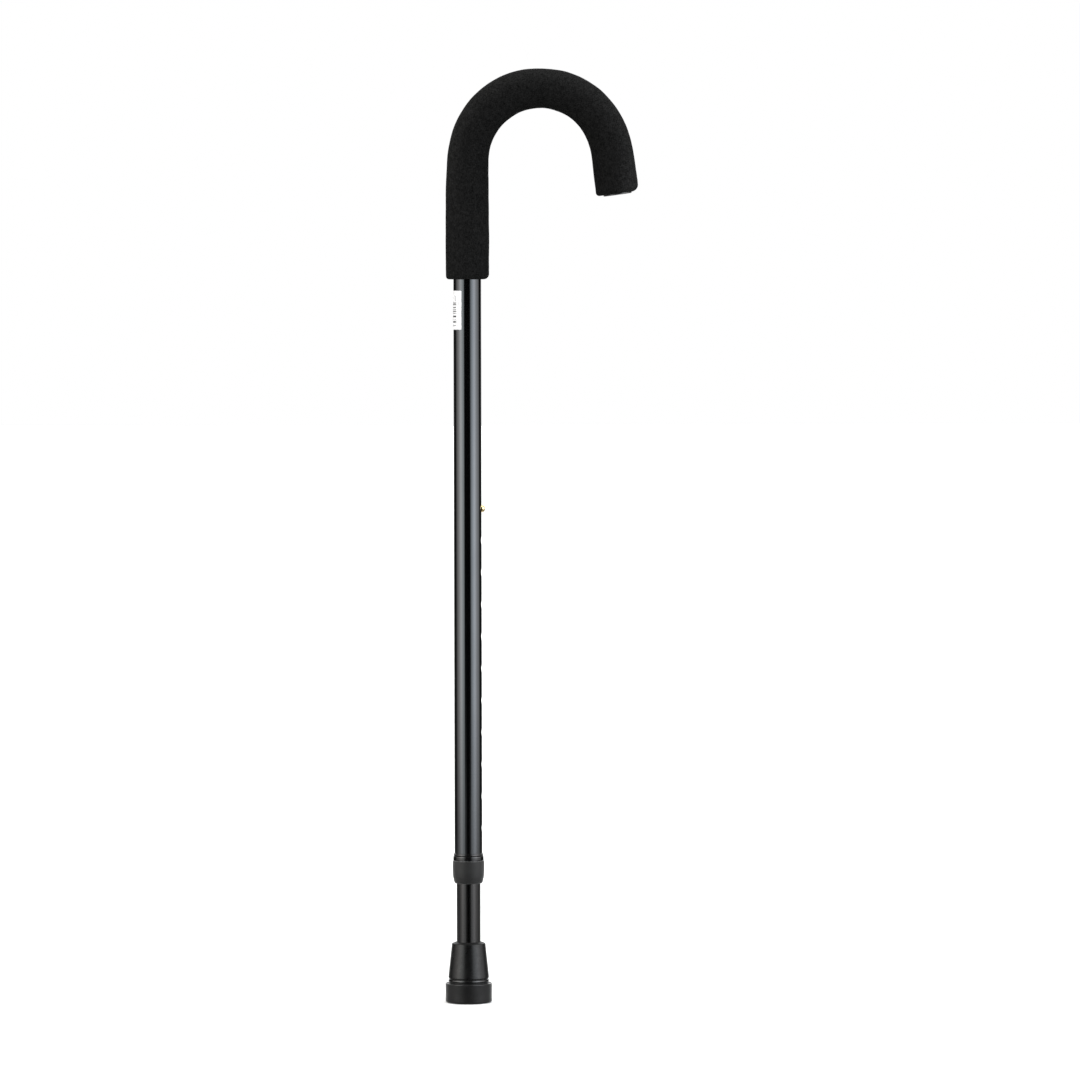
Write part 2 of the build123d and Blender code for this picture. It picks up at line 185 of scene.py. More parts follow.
def make_world():
    """White surround for the lens; for the light, two tall soft lamps, a soft one overhead and weak fill behind."""
    world = bpy.data.worlds.new("studio")
    scene.world = world
    world.use_nodes = True
    t = world.node_tree
    t.nodes.clear()
    coord = t.nodes.new("ShaderNodeTexCoord")
    sep = t.nodes.new("ShaderNodeSeparateXYZ")
    t.links.new(coord.outputs["Generated"], sep.inputs[0])
    x, y, z = sep.outputs
    az = math_node(t, "MULTIPLY", math_node(t, "ARCTAN2", x, math_node(t, "MULTIPLY", y, -1.0)), 180 / math.pi)
    el = math_node(t, "MULTIPLY", math_node(t, "ARCSINE", z), 180 / math.pi)
    ramp = t.nodes.new("ShaderNodeValToRGB")
    ramp.color_ramp.interpolation = "LINEAR"
    t.links.new(ramp01(t, az, -180, 180, 0.0, 1.0, smooth=False), ramp.inputs[0])
    items = ramp.color_ramp.elements
    items[0].position, items[0].color = 0.0, (0, 0, 0, 1)
    items[1].position, items[1].color = 1.0, (0, 0, 0, 1)
    for deg, value, red, blue in LAMPS:
        e = items.new((deg + 180) / 360)
        e.color = (value * red / 10, value / 10, value * blue / 10, 1)
    # lower down the lamps lose their blue
    green = t.nodes.new("ShaderNodeSeparateXYZ")
    t.links.new(ramp.outputs[0], green.inputs[0])
    plain = t.nodes.new("ShaderNodeCombineXYZ")
    for k in range(3):
        t.links.new(green.outputs[1], plain.inputs[k])
    tinted = mix_rgb(t, ramp01(t, el, -5.5, -4.8), plain.outputs[0], ramp.outputs[0])
    fade = t.nodes.new("ShaderNodeValToRGB")
    fade.color_ramp.interpolation = "LINEAR"
    t.links.new(ramp01(t, el, -10, 10, 0.0, 1.0, smooth=False), fade.inputs[0])
    items = fade.color_ramp.elements
    items[0].position, items[0].color = 0.0, (0.08, 0.08, 0.08, 1)
    items[1].position, items[1].color = 1.0, (0.8, 0.8, 0.8, 1)
    for deg, value in LAMP_HEIGHT:
        items.new((deg + 10) / 20).color = (value, value, value, 1)
    foot = t.nodes.new("ShaderNodeSeparateXYZ")
    t.links.new(fade.outputs[0], foot.inputs[0])
    head = ramp01(t, el, 34, 58, 1.0, 0.0)
    k = math_node(t, "MULTIPLY", math_node(t, "MULTIPLY", foot.outputs[0], head), 10.0)
    lamps = t.nodes.new("ShaderNodeVectorMath")
    lamps.operation = "SCALE"
    t.links.new(tinted, lamps.inputs[0])
    t.links.new(k, lamps.inputs["Scale"])

    def colour(rgb, factor):
        v = t.nodes.new("ShaderNodeVectorMath")
        v.operation = "SCALE"
        v.inputs[0].default_value = rgb
        t.links.new(factor, v.inputs["Scale"])
        return v.outputs[0]

    def add(a, b):
        v = t.nodes.new("ShaderNodeVectorMath")
        v.operation = "ADD"
        t.links.new(a, v.inputs[0])
        if isinstance(b, bpy.types.NodeSocket):
            t.links.new(b, v.inputs[1])
        else:
            v.inputs[1].default_value = b
        return v.outputs[0]

    behind = math_node(
        t,
        "MULTIPLY",
        ramp01(t, math_node(t, "ABSOLUTE", az), 125, 160),
        math_node(t, "MULTIPLY", ramp01(t, el, 6, 14), ramp01(t, el, 40, 60, 1.0, 0.0)),
    )
    round_az = math_node(t, "ABSOLUTE", az)
    # near the floor a weak glow closes in on the dark middle
    glow = math_node(
        t,
        "MULTIPLY",
        math_node(t, "MULTIPLY", ramp01(t, round_az, 8, 20), ramp01(t, round_az, 26, 38, 1.0, 0.0)),
        math_node(t, "MULTIPLY", ramp01(t, el, -5.2, -4.7, 1.0, 0.0), ramp01(t, el, -7.5, -5.6)),
    )
    total = add(lamps.outputs[0], colour((1.5, 1.5, 1.5), behind))
    total = add(total, colour((0.9, 0.9, 0.9), glow))
    # the white backdrop itself, seen only in the last sliver of a glossy edge
    drop = math_node(t, "MULTIPLY", ramp01(t, round_az, 146, 156), ramp01(t, el, 30, 42, 1.0, 0.0))
    total = add(total, colour((1.15, 1.15, 1.15), drop))
    # a weak glow low down at both sides
    low_side = math_node(
        t,
        "MULTIPLY",
        math_node(t, "MULTIPLY", ramp01(t, round_az, 92, 116), ramp01(t, round_az, 142, 154, 1.0, 0.0)),
        math_node(t, "MULTIPLY", ramp01(t, el, -5.65, -5.35, 1.0, 0.0), ramp01(t, el, -10, -8)),
    )
    total = add(total, colour((0.42, 0.42, 0.42), low_side))
    total = add(total, colour((2.4, 2.4, 2.35), ramp01(t, el, 50, 70)))
    total = add(total, (0.015, 0.015, 0.0155))
    light = N(t, "ShaderNodeBackground", in_Strength=1.0)
    t.links.new(total, light.inputs["Color"])
    white = N(t, "ShaderNodeBackground", in_Color=(1, 1, 1, 1), in_Strength=1.0)
    path = t.nodes.new("ShaderNodeLightPath")
    mix = t.nodes.new("ShaderNodeMixShader")
    t.links.new(path.outputs["Is Camera Ray"], mix.inputs[0])
    t.links.new(light.outputs[0], mix.inputs[1])
    t.links.new(white.outputs[0], mix.inputs[2])
    out = t.nodes.new("ShaderNodeOutputWorld")
    t.links.new(mix.outputs[0], out.inputs["Surface"])


make_world()


def new_material(name):
    m = bpy.data.materials.new(name)
    m.use_nodes = True
    t = m.node_tree
    t.nodes.clear()
    out = t.nodes.new("ShaderNodeOutputMaterial")
    p = t.nodes.new("ShaderNodeBsdfPrincipled")
    t.links.new(p.outputs[0], out.inputs["Surface"])
    coord = t.nodes.new("ShaderNodeTexCoord")
    return m, t, p, coord.outputs["Object"]


def noise_of(t, vec, scale, detail=3.0, rough=0.55, stretch=None, distortion=0.0):
    if stretch is not None:
        mp = t.nodes.new("ShaderNodeMapping")
        mp.inputs["Scale"].default_value = stretch
        t.links.new(vec, mp.inputs["Vector"])
        vec = mp.outputs["Vector"]
    n = t.nodes.new("ShaderNodeTexNoise")
    n.inputs["Scale"].default_value = scale
    n.inputs["Detail"].default_value = detail
    n.inputs["Roughness"].default_value = rough
    n.inputs["Distortion"].default_value = distortion
    t.links.new(vec, n.inputs["Vector"])
    return n.outputs["Fac"] if "Fac" in n.outputs else n.outputs[0]


def bump_of(t, height, strength, distance, normal=None):
    b = t.nodes.new("ShaderNodeBump")
    b.inputs["Strength"].default_value = strength
    b.inputs["Distance"].default_value = distance
    t.links.new(height, b.inputs["Height"])
    if normal is not None:
        t.links.new(normal, b.inputs["Normal"])
    return b.outputs["Normal"]


def gloss_black(name, dark, light, rough_lo, rough_hi, sheen=(1, 1, 1), level=0.5):
    """Black lacquered aluminium: faint drawing lines along the tube, orange peel, a little handling haze."""
    m, t, p, vec = new_material(name)
    cloud = noise_of(t, vec, 38.0, 4.0, 0.6)
    lines = noise_of(t, vec, 1.0, 2.0, 0.5, stretch=(2600.0, 2600.0, 6.0))
    peel = noise_of(t, vec, 620.0, 2.0, 0.45)
    haze = noise_of(t, vec, 1.0, 5.0, 0.65, stretch=(120.0, 120.0, 16.0))
    shade = mix_rgb(t, cloud, (dark, dark, dark, 1), (light, light, light * 1.06, 1))
    t.links.new(shade, p.inputs["Base Color"])
    r = math_node(t, "ADD", ramp01(t, haze, 0.38, 0.72, rough_lo, rough_hi), math_node(t, "MULTIPLY", lines, 0.02))
    t.links.new(r, p.inputs["Roughness"])
    n = bump_of(t, peel, 0.08, 0.00004)
    n = bump_of(t, lines, 0.04, 0.00001, n)
    t.links.new(n, p.inputs["Normal"])
    p.inputs["Specular IOR Level"].default_value = level
    p.inputs["Specular Tint"].default_value = (*sheen, 1)
    return m


MAT = {}
MAT["upper"] = gloss_black("tube_black_gloss", 0.0004, 0.0010, 0.055, 0.10, sheen=(0.935, 0.985, 1.04))
MAT["lower"] = gloss_black("tube_black_satin_gloss", 0.0005, 0.0011, 0.08, 0.135, sheen=(1.0, 0.985, 0.985), level=0.355)
MAT["collar"] = gloss_black("collar_gloss_plastic", 0.0012, 0.0022, 0.12, 0.18, level=0.40)
# painted shade: a duller copy of the gloss plastic on the flange's lower body, so it reads darker towards the nut
MAT["collar_low"] = gloss_black("collar_low_painted_shade", 0.0012, 0.0022, 0.16, 0.22, level=0.19)
# painted shade: a darker copy of the gloss plastic with almost no reflection, for the dark line of the groove
MAT["collar_groove"] = gloss_black("collar_groove_painted_shade", 0.0008, 0.0016, 0.2, 0.3, level=0.02)
# painted highlight: a glossier copy of the gloss plastic on the top lip, to brighten its highlight line
MAT["collar_rim"] = gloss_black("collar_rim_painted_highlight", 0.0012, 0.0022, 0.11, 0.16, level=0.55)


def foam_material():
    """Closed-cell foam: pits and specks about a millimetre across, with painted light: lighter on the outside of the
    bend, darker on its inside.
    """
    m, t, p, vec = new_material("foam_black")
    cells = N(t, "ShaderNodeTexVoronoi", feature="F1", in_Scale=1500.0)
    t.links.new(vec, cells.inputs["Vector"])
    fine = noise_of(t, vec, 1250.0, 4.0, 0.7)
    mid = noise_of(t, vec, 360.0, 3.0, 0.6)
    broad = noise_of(t, vec, 60.0, 3.0, 0.55)
    speck = math_node(
        t,
        "ADD",
        math_node(t, "MULTIPLY", ramp01(t, fine, 0.38, 0.66), 0.60),
        math_node(t, "MULTIPLY", ramp01(t, mid, 0.36, 0.66), 0.27),
    )
    speck = math_node(t, "ADD", speck, math_node(t, "MULTIPLY", broad, 0.16), clamp=True)
    sep = t.nodes.new("ShaderNodeSeparateXYZ")
    t.links.new(vec, sep.inputs[0])
    x, y, z = sep.outputs
    # painted light and shade: the colour is scaled up on the side away from the bend's centre and down on the side
    # towards it, fully over the bend and tail, weakly on the leg
    dx = math_node(t, "SUBTRACT", x, CROOK_R * MM)
    dz = math_node(t, "MAXIMUM", math_node(t, "SUBTRACT", z, Z_ARC * MM), 0.0)
    rho = math_node(
        t, "SQRT", math_node(t, "ADD", math_node(t, "MULTIPLY", dx, dx), math_node(t, "MULTIPLY", dz, dz))
    )
    outer = math_node(t, "DIVIDE", math_node(t, "SUBTRACT", rho, CROOK_R * MM), 0.0165)
    painted_light_zone = math_node(t, "MAXIMUM", ramp01(t, z, 0.60, 0.69, 0.22, 1.0), ramp01(t, x, 0.035, 0.065))
    painted_light_gain = math_node(t, "SUBTRACT", ramp01(t, outer, 0.0, 1.05, -0.13, 0.78), ramp01(t, outer, -1.0, 0.1, 0.12, 0.0))
    painted_light_gain = math_node(t, "ADD", 1.0, math_node(t, "MULTIPLY", painted_light_gain, painted_light_zone))
    col = mix_rgb(t, speck, (0.0008, 0.0008, 0.0008, 1), (0.0098, 0.0097, 0.0096, 1))
    shade = t.nodes.new("ShaderNodeVectorMath")
    shade.operation = "SCALE"
    t.links.new(col, shade.inputs[0])
    t.links.new(painted_light_gain, shade.inputs["Scale"])
    t.links.new(shade.outputs[0], p.inputs["Base Color"])
    t.links.new(ramp01(t, fine, 0.3, 0.7, 1.0, 0.86), p.inputs["Roughness"])
    p.inputs["Specular IOR Level"].default_value = 0.035
    pits = math_node(t, "SUBTRACT", 1.0, ramp01(t, cells.outputs["Distance"], 0.0, 0.55))
    n = bump_of(t, pits, 0.35, 0.00012)
    n = bump_of(t, fine, 0.5, 0.00016, n)
    t.links.new(n, p.inputs["Normal"])
    return m


MAT["foam"] = foam_material()


def rubber_material(name, rough_lo, rough_hi, level, dark, light, sheen=0.0):
    m, t, p, vec = new_material(name)
    sep = t.nodes.new("ShaderNodeSeparateXYZ")
    t.links.new(vec, sep.inputs[0])
    z = sep.outputs[2]
    scuff = noise_of(t, vec, 240.0, 5.0, 0.65)
    fine = noise_of(t, vec, 1800.0, 3.0, 0.6)
    bloom = noise_of(t, vec, 75.0, 4.0, 0.6, distortion=0.4)
    low = ramp01(t, z, 0.0, 0.005, 1.0, 0.0)
    dusty = math_node(
        t,
        "ADD",
        math_node(t, "MULTIPLY", ramp01(t, bloom, 0.42, 0.75), 0.5),
        math_node(t, "MULTIPLY", math_node(t, "MULTIPLY", low, ramp01(t, scuff, 0.40, 0.68)), 0.5),
        clamp=True,
    )
    col = mix_rgb(t, dusty, (dark, dark * 0.98, dark, 1), (light, light * 0.985, light * 0.985, 1))
    t.links.new(col, p.inputs["Base Color"])
    t.links.new(ramp01(t, scuff, 0.3, 0.7, rough_lo, rough_hi), p.inputs["Roughness"])
    p.inputs["Specular IOR Level"].default_value = level
    if sheen:
        p.inputs["Sheen Weight"].default_value = sheen
        p.inputs["Sheen Roughness"].default_value = 0.36
        p.inputs["Sheen Tint"].default_value = (1.0, 1.0, 1.0, 1.0)
    n = bump_of(t, scuff, 0.14, 0.00012)
    n = bump_of(t, fine, 0.16, 0.00004, n)
    t.links.new(n, p.inputs["Normal"])
    return m


MAT["rubber"] = rubber_material("tip_rubber", 0.26, 0.34, 0.205, 0.0014, 0.0046, sheen=0.10)
MAT["rubber_band"] = rubber_material("tip_rubber_band", 0.40, 0.50, 0.14, 0.0028, 0.0068, sheen=0.48)
# painted highlight: a lighter, glossier copy of the same rubber on the flange rim and the bead, for their bright lines
MAT["rubber_edge"] = rubber_material("tip_rubber_painted_highlight", 0.18, 0.26, 0.42, 0.0030, 0.0072, sheen=0.05)
# painted shade: a duller copy of the same rubber on the top shoulder, so it reflects little and stays dark
MAT["rubber_shoulder"] = rubber_material("tip_rubber_shoulder_painted_shade", 0.46, 0.56, 0.10, 0.0024, 0.0060, sheen=0.07)


def nut_material(name, rough=0.50, level=0.22):
    m, t, p, vec = new_material(name)
    fine = noise_of(t, vec, 2400.0, 3.0, 0.6)
    soft = noise_of(t, vec, 120.0, 4.0, 0.6)
    col = mix_rgb(t, soft, (0.0058, 0.0058, 0.0058, 1), (0.0088, 0.0088, 0.0088, 1))
    t.links.new(col, p.inputs["Base Color"])
    t.links.new(ramp01(t, soft, 0.3, 0.7, rough, rough + 0.08), p.inputs["Roughness"])
    p.inputs["Specular IOR Level"].default_value = level
    p.inputs["Sheen Weight"].default_value = 0.335
    p.inputs["Sheen Roughness"].default_value = 0.4
    p.inputs["Sheen Tint"].default_value = (1.0, 1.0, 1.0, 1.0)
    n = bump_of(t, fine, 0.30, 0.00006)
    t.links.new(n, p.inputs["Normal"])
    return m


MAT["nut"] = nut_material("nut_satin_plastic")
# painted highlight: a glossier copy of the nut's plastic on its top edge, for the highlight line there
MAT["nut_edge"] = nut_material("nut_rim_painted_highlight", 0.26, 0.5)


def label_material():
    """White paper with plain grey rules and a ladder of plain bars: no lettering."""
    m, t, p, vec = new_material("label_paper")
    sep = t.nodes.new("ShaderNodeSeparateXYZ")
    t.links.new(vec, sep.inputs[0])
    x, y, z = sep.outputs
    # angle from the front edge's side, in degrees, growing round the left of the tube
    ang = math_node(t, "MULTIPLY", math_node(t, "ARCTAN2", math_node(t, "MULTIPLY", x, -1.0), math_node(t, "MULTIPLY", y, -1.0)), 180 / math.pi)
    zz = math_node(t, "MULTIPLY", z, 1000.0)
    bars = None
    # height in mm, half thickness and darkness of each bar
    for zc, half, dark in (
        (537.6, 0.40, 0.55), (540.5, 0.66, 0.93), (542.3, 0.25, 0.40), (544.8, 0.66, 0.985), (547.2, 0.36, 0.66),
        (548.7, 0.46, 0.88), (550.1, 0.36, 0.70), (551.9, 0.52, 0.80), (554.1, 0.46, 0.90), (555.4, 0.46, 0.82),
    ):
        d = math_node(t, "ABSOLUTE", math_node(t, "SUBTRACT", zz, zc))
        b = ramp01(t, d, half - 0.06, half + 0.06, dark, 0.0)
        bars = b if bars is None else math_node(t, "MAXIMUM", bars, b)
    zone = math_node(t, "MULTIPLY", ramp01(t, ang, 50.0, 52.0), ramp01(t, ang, 121.0, 122.5, 1.0, 0.0))
    bars = math_node(t, "MULTIPLY", bars, zone)
    # pale grey rules beside them
    rules = None
    for ac, half, z0, z1, dark in (
        (36.5, 1.6, 546.5, 562.6, 0.42), (56.0, 4.5, 556.6, 561.2, 0.45), (46.0, 2.2, 538.0, 542.0, 0.34),
        (47.5, 1.0, 543.5, 552.0, 0.36),
    ):
        d = math_node(t, "ABSOLUTE", math_node(t, "SUBTRACT", ang, ac))
        b = ramp01(t, d, half - 0.4, half + 0.4, dark, 0.0)
        b = math_node(t, "MULTIPLY", b, math_node(t, "MULTIPLY", ramp01(t, zz, z0, z0 + 0.3), ramp01(t, zz, z1 - 0.3, z1, 1.0, 0.0)))
        rules = b if rules is None else math_node(t, "MAXIMUM", rules, b)
    fibre = noise_of(t, vec, 1500.0, 4.0, 0.65)
    grime = noise_of(t, vec, 160.0, 4.0, 0.6)
    paper = mix_rgb(t, ramp01(t, grime, 0.35, 0.75), (0.60, 0.60, 0.605, 1), (0.54, 0.54, 0.545, 1))
    col = mix_rgb(t, rules, paper, (0.20, 0.20, 0.215, 1))
    ink = math_node(t, "MULTIPLY", bars, ramp01(t, fibre, 0.25, 0.6, 0.93, 1.0))
    col = mix_rgb(t, ink, col, (0.012, 0.012, 0.013, 1))
    t.links.new(col, p.inputs["Base Color"])
    t.links.new(ramp01(t, fibre, 0.3, 0.7, 0.42, 0.52), p.inputs["Roughness"])
    t.links.new(bump_of(t, fibre, 0.12, 0.00003), p.inputs["Normal"])
    return m


MAT["label"] = label_material()


def brass_material():
    m, t, p, vec = new_material("button_brass")
    sweep = noise_of(t, vec, 900.0, 4.0, 0.6)
    tarnish = noise_of(t, vec, 320.0, 4.0, 0.6)
    col = mix_rgb(t, ramp01(t, tarnish, 0.35, 0.75), (0.96, 0.80, 0.47, 1), (0.80, 0.58, 0.26, 1))
    t.links.new(col, p.inputs["Base Color"])
    p.inputs["Metallic"].default_value = 1.0
    t.links.new(ramp01(t, sweep, 0.3, 0.7, 0.14, 0.24), p.inputs["Roughness"])
    t.links.new(bump_of(t, sweep, 0.10, 0.00003), p.inputs["Normal"])
    return m


MAT["brass"] = brass_material()


def steel_material():
    m, t, p, vec = new_material("spring_steel")
    lines = noise_of(t, vec, 1.0, 3.0, 0.6, stretch=(900.0, 5000.0, 60.0))
    cloud = noise_of(t, vec, 150.0, 3.0, 0.6)
    col = mix_rgb(t, cloud, (0.50, 0.49, 0.48, 1), (0.36, 0.355, 0.35, 1))
    t.links.new(col, p.inputs["Base Color"])
    p.inputs["Metallic"].default_value = 1.0
    t.links.new(ramp01(t, lines, 0.3, 0.7, 0.25, 0.42), p.inputs["Roughness"])
    t.links.new(bump_of(t, lines, 0.12, 0.00003), p.inputs["Normal"])
    return m


MAT["steel"] = steel_material()


def plastic_material(name, a, b, r0, r1, fine_scale=1600.0):
    m, t, p, vec = new_material(name)
    fine = noise_of(t, vec, fine_scale, 3.0, 0.6)
    soft = noise_of(t, vec, 140.0, 4.0, 0.6)
    t.links.new(mix_rgb(t, soft, (*a, 1), (*b, 1)), p.inputs["Base Color"])
    t.links.new(ramp01(t, soft, 0.3, 0.7, r0, r1), p.inputs["Roughness"])
    t.links.new(bump_of(t, fine, 0.15, 0.00004), p.inputs["Normal"])
    return m


MAT["plug"] = plastic_material("plug_black_plastic", (0.012, 0.012, 0.0122), (0.02, 0.02, 0.0202), 0.20, 0.30)
MAT["nylon"] = plastic_material("clamp_nylon", (0.66, 0.65, 0.60), (0.58, 0.57, 0.53), 0.38, 0.5)


# ---------------------------------------------------------------------------
# mesh helpers
# ---------------------------------------------------------------------------
def link(name, verts, faces, normals=None, material=None, smooth=True):
    """Makes the mesh in metres from millimetres. normals holds one direction per face corner."""
    mesh = bpy.data.meshes.new(name)
    mesh.from_pydata([(x * MM, y * MM, z * MM) for x, y, z in verts], [], faces)
    mesh.validate()
    mesh.update()
    if smooth:
        mesh.polygons.foreach_set("use_smooth", [True] * len(mesh.polygons))
    if normals is not None:
        mesh.normals_split_custom_set(normals)
    obj = bpy.data.objects.new(name, mesh)
    scene.collection.objects.link(obj)
    if material is not None:
        mesh.materials.append(material)
    return obj


def rounded(points, arc_step=12.0):
    """Closed (r, z) outline with a radius on each corner -> list of (p0, p1, n0, n1), solid on the left."""
    area = sum(a[0] * b[1] - b[0] * a[1] for a, b in zip(points, points[1:] + points[:1]))
    if area < 0:
        points = points[::-1]
    n = len(points)
    cut = []
    for i, (r, z, f) in enumerate(points):
        p = Vector((r, z))
        a = Vector(points[i - 1][:2]) - p
        b = Vector(points[(i + 1) % n][:2]) - p
        if f <= 0 or a.length < 1e-9 or b.length < 1e-9:
            cut.append((p, p, None, 0, 0))
            continue
        ua, ub = a.normalized(), b.normalized()
        half = math.acos(max(-1, min(1, ua.dot(ub)))) / 2
        if abs(half - math.pi / 2) < 1e-4:
            cut.append((p, p, None, 0, 0))
            continue
        d = min(f / math.tan(half), 0.48 * a.length, 0.48 * b.length)
        f = d * math.tan(half)
        c = p + (ua + ub).normalized() * (f / math.sin(half))
        cut.append((p + ua * d, p + ub * d, c, f, 1))
    out = []
    for i in range(n):
        start, end, c, f, is_arc = cut[i]
        if is_arc:
            s, e = start - c, end - c
            a0 = math.atan2(s.y, s.x)
            turn = math.atan2(s.x * e.y - s.y * e.x, s.dot(e))
            steps = max(2, int(math.ceil(abs(math.degrees(turn)) / arc_step)))
            sign = 1 if turn > 0 else -1
            prev, prev_n = start, (s * sign).normalized()
            for k in range(1, steps + 1):
                a = a0 + turn * k / steps
                q = c + Vector((math.cos(a), math.sin(a))) * f
                nn = ((q - c) * sign).normalized()
                out.append((prev, q, prev_n, nn))
                prev, prev_n = q, nn
        nxt = cut[(i + 1) % n][0]
        d = nxt - end
        if d.length > 1e-7:
            nn = Vector((d.y, -d.x)).normalized()
            out.append((end, nxt, nn, nn))
    return out


def thread(r_in, r_out, w_in, w_out, z0, turns, per_turn=96, taper=20.0):
    """Right-handed ridge of trapezoid section, running out at both ends: vertices, faces and corner normals.
    With r_out the larger it stands out of a shaft, otherwise the section is w_in wide at the inner radius."""
    verts, faces, normals = [], [], []
    steps = int(round(per_turn * turns))
    rows = []
    ends = math.radians(taper)
    sign = 1.0 if w_out < w_in else -1.0
    base_r, tip_r = (r_in, r_out) if sign > 0 else (r_out, r_in)
    base_w, tip_w = (w_in, w_out) if sign > 0 else (w_out, w_in)
    for i in range(steps + 1):
        a = 2 * math.pi * turns * i / steps
        full = min(1.0, a / ends, (2 * math.pi * turns - a) / ends)
        zc = z0 + 2.0 * a / (2 * math.pi)
        rr = base_r + (tip_r - base_r) * (0.04 + 0.96 * full)
        ww = base_w + (tip_w - base_w) * (0.04 + 0.96 * full)
        d = Vector((math.cos(a), math.sin(a), 0))
        line = []
        for r, h in ((base_r, -base_w / 2), (rr, -ww / 2), (rr, ww / 2), (base_r, base_w / 2)):
            line.append(len(verts))
            verts.append(d * r + Vector((0, 0, zc + h)))
        rows.append((line, d, rr, ww))
    for (a, da, ra, wa), (b, db, rb, wb) in zip(rows, rows[1:]):
        for k in range(4):
            q = (k + 1) % 4

            def nor(d, r, w):
                if k == 1:
                    return d * sign
                if k == 3:
                    return -d * sign
                n = d * (base_w - w) / 2 * sign + Vector((0, 0, -1 if k == 0 else 1)) * abs(r - base_r)
                return n.normalized()

            quad = (a[k], b[k], b[q], a[q])
            ns = [nor(da, ra, wa), nor(db, rb, wb), nor(db, rb, wb), nor(da, ra, wa)]
            e1, e2 = verts[quad[1]] - verts[quad[0]], verts[quad[3]] - verts[quad[0]]
            if e1.cross(e2).dot(ns[0]) < 0:
                quad, ns = quad[::-1], ns[::-1]
            faces.append(quad)
            normals += ns
    for line, back in ((rows[0], -1), (rows[-1], 1)):
        d = line[1]
        along = Vector((-d.y, d.x, 0)) * back
        quad = tuple(line[0])
        e1, e2 = verts[quad[1]] - verts[quad[0]], verts[quad[3]] - verts[quad[0]]
        if e1.cross(e2).dot(along) < 0:
            quad = quad[::-1]
        faces.append(quad)
        normals += [along] * 4
    return verts, faces, normals


def lathe(name, points, material, seg=160, place=None, arc_step=12.0, extra=()):
    """Turns a rounded outline about Z. Corners are exact circles, and the shading follows the outline's own normals."""
    place = place or Matrix.Identity(4)
    rot = place.to_3x3()
    segs = [s for s in rounded(points, arc_step) if not (s[0].x < 1e-6 and s[1].x < 1e-6)]
    cs = [(math.cos(2 * math.pi * j / seg), math.sin(2 * math.pi * j / seg)) for j in range(seg)]
    rings, verts, key = {}, [], {}

    def ring(p):
        k = (round(p.x, 5), round(p.y, 5))
        if k not in rings:
            if p.x < 1e-6:
                rings[k] = [len(verts)] * seg
                verts.append(place @ Vector((0, 0, p.y)))
            else:
                rings[k] = list(range(len(verts), len(verts) + seg))
                verts.extend(place @ Vector((p.x * c, p.x * s, p.y)) for c, s in cs)
        return rings[k]

    faces, normals = [], []
    for p0, p1, n0, n1 in segs:
        a, b = ring(p0), ring(p1)
        for j in range(seg):
            k = (j + 1) % seg

            def nor(n, q):
                return rot @ Vector((n.x * cs[q][0], n.x * cs[q][1], n.y))

            if p0.x < 1e-6:
                faces.append((a[j], b[k], b[j]))
                normals += [nor(n0, j), nor(n1, k), nor(n1, j)]
                faces[-1] = (a[j], b[k], b[j])
            elif p1.x < 1e-6:
                faces.append((a[j], a[k], b[j]))
                normals += [nor(n0, j), nor(n0, k), nor(n1, j)]
            else:
                faces.append((a[j], a[k], b[k], b[j]))
                normals += [nor(n0, j), nor(n0, k), nor(n1, k), nor(n1, j)]
    for more_verts, more_faces, more_normals in extra:
        first = len(verts)
        verts += more_verts
        faces += [tuple(first + v for v in f) for f in more_faces]
        normals += more_normals
    return link(name, verts, faces, normals, material)


def centre(s):
    """Centreline of the crook: point, outward normal and direction, s in mm from the foam's lower end."""
    if s <= LEG_LEN:
        return Vector((0, 0, Z_FOAM + s)), Vector((-1, 0, 0)), Vector((0, 0, 1))
    if s <= LEG_LEN + ARC_LEN:
        t = math.pi - (s - LEG_LEN) / CROOK_R
        n = Vector((math.cos(t), 0, math.sin(t)))
        return Vector((CROOK_R, 0, Z_ARC)) + n * CROOK_R, n, Vector((math.sin(t), 0, -math.cos(t)))
    d = s - LEG_LEN - ARC_LEN
    n = Vector((math.cos(A_END), 0, math.sin(A_END)))
    u = Vector((math.sin(A_END), 0, -math.cos(A_END)))
    return Vector((CROOK_R, 0, Z_ARC)) + n * CROOK_R + u * d, n, u


